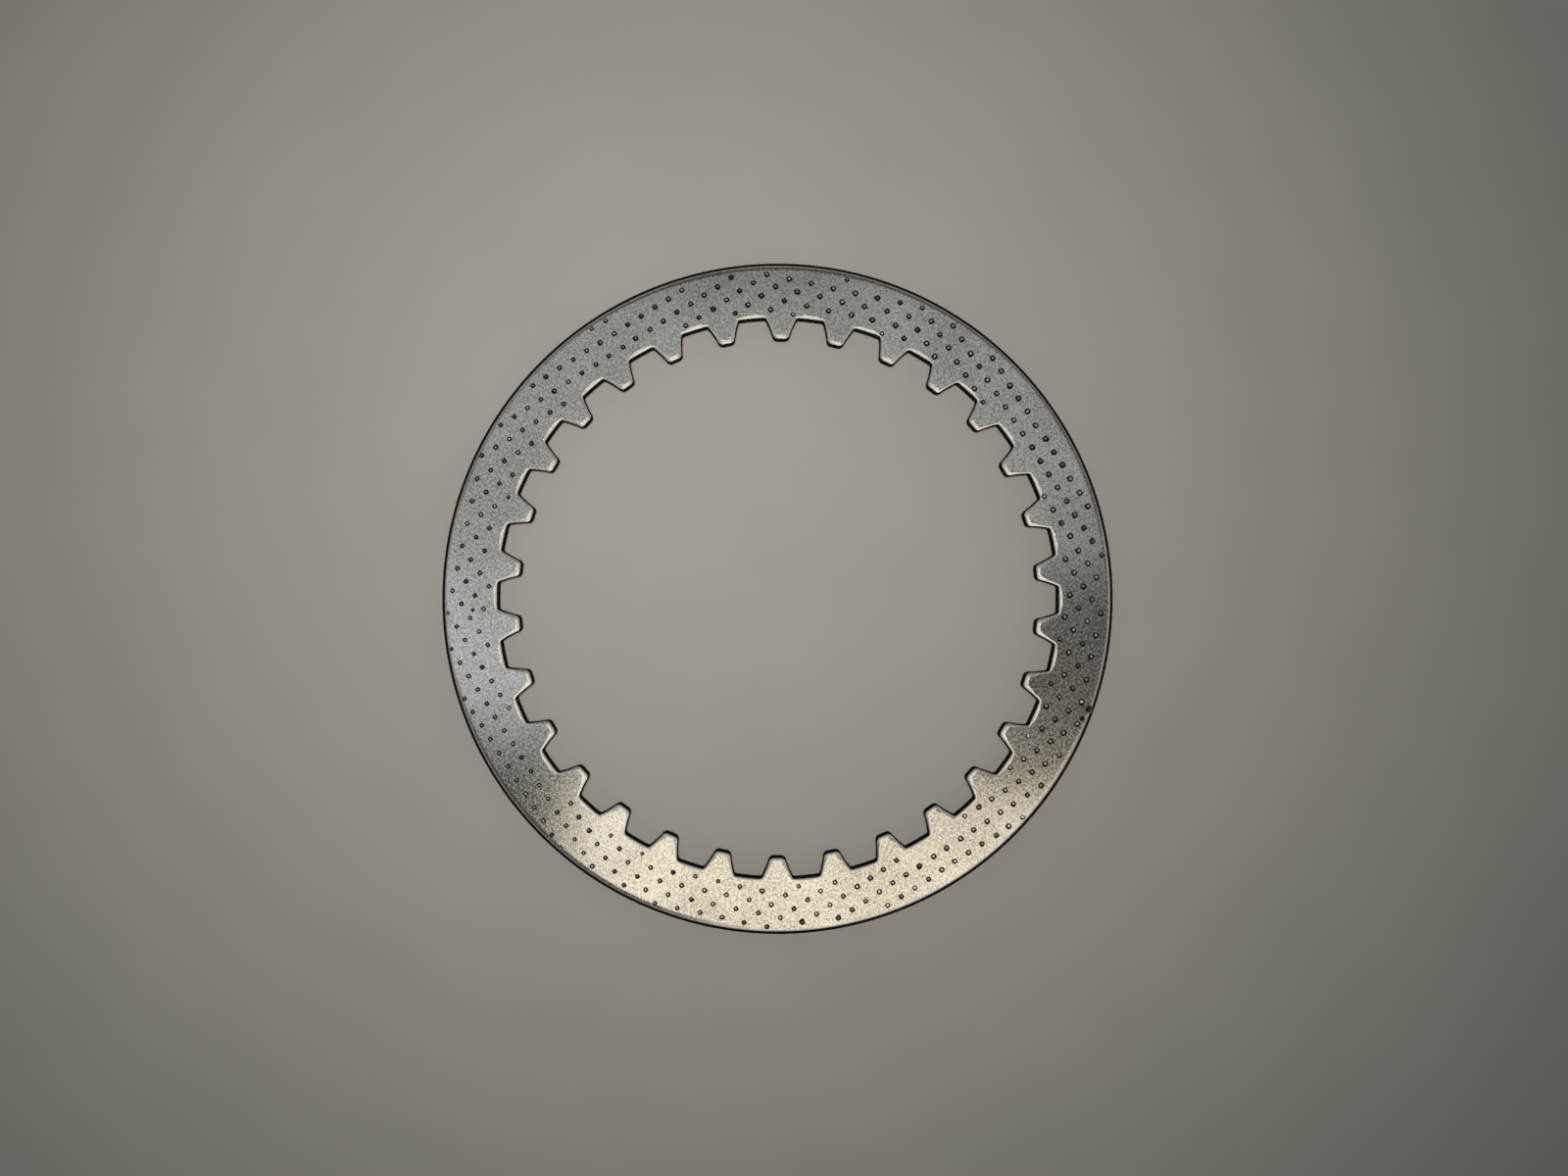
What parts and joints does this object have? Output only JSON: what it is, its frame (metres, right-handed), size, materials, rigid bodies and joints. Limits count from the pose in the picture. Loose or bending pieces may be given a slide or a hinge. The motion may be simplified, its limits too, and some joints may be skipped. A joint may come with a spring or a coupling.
{
  "type": "motorcycle clutch steel plate",
  "caption": "Flat stamped steel driven plate for a multi-plate motorcycle clutch, with internal involute spline teeth and a square grid of small oil pits on both faces.",
  "frame": {"origin": "centre of the plate on its bottom face", "axes": "+Z is the axis of rotation and points from the bottom face to the top face, which has the rolled edges; +X runs through the middle of a tooth gap; +Y runs through the middle of a tooth"},
  "size_m": [0.112, 0.112, 0.002],
  "materials": {
    "tumbled_steel": "satin, fine mottled grain from tumbling, bright rolled edges, oil pits on both faces"
  },
  "bodies": {
    "root": {"clutch_steel_plate": "tumbled_steel"}
  },
  "joints": []
}
